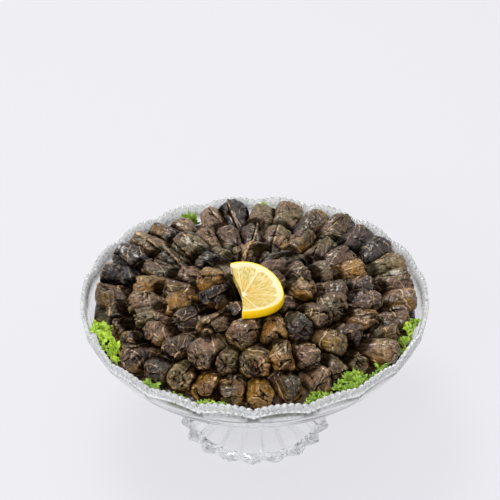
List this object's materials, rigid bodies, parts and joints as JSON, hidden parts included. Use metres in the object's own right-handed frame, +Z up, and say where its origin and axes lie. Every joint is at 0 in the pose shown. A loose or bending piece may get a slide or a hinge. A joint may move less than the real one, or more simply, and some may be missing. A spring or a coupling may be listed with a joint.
{
  "type": "dolma",
  "caption": "Stuffed vine leaf rolls heaped like spokes in a footed cut-crystal bowl with a toothed scalloped rim, topped with a lemon slice and edged with green leaves.",
  "frame": {"origin": "centre of the bowl's outline on the table, under its foot", "axes": "+Z up along the bowl's axis, -Y towards the viewer in the picture, +X to the viewer's right"},
  "size_m": [0.28, 0.28, 0.1637],
  "materials": {
    "crystal": "clear pressed crystal, polished",
    "vine_leaf": "cooked vine leaf, dark olive brown, moist satin",
    "lemon": "fresh lemon, pale flesh and bright rind",
    "green_leaf": "fresh curly lettuce leaf"
  },
  "bodies": {
    "root": {"glass_bowl": "crystal", "dolma_heap": "vine_leaf", "lemon_slice": "lemon", "leaf_left": "green_leaf", "leaf_left_inner": "green_leaf", "leaf_front_left": "green_leaf", "leaf_front_small": "green_leaf", "leaf_front": "green_leaf", "leaf_front_right": "green_leaf", "leaf_right_front": "green_leaf", "leaf_right_front_inner": "green_leaf", "leaf_right_small": "green_leaf", "leaf_right": "green_leaf", "leaf_back_left": "green_leaf", "leaf_back": "green_leaf"}
  },
  "joints": []
}
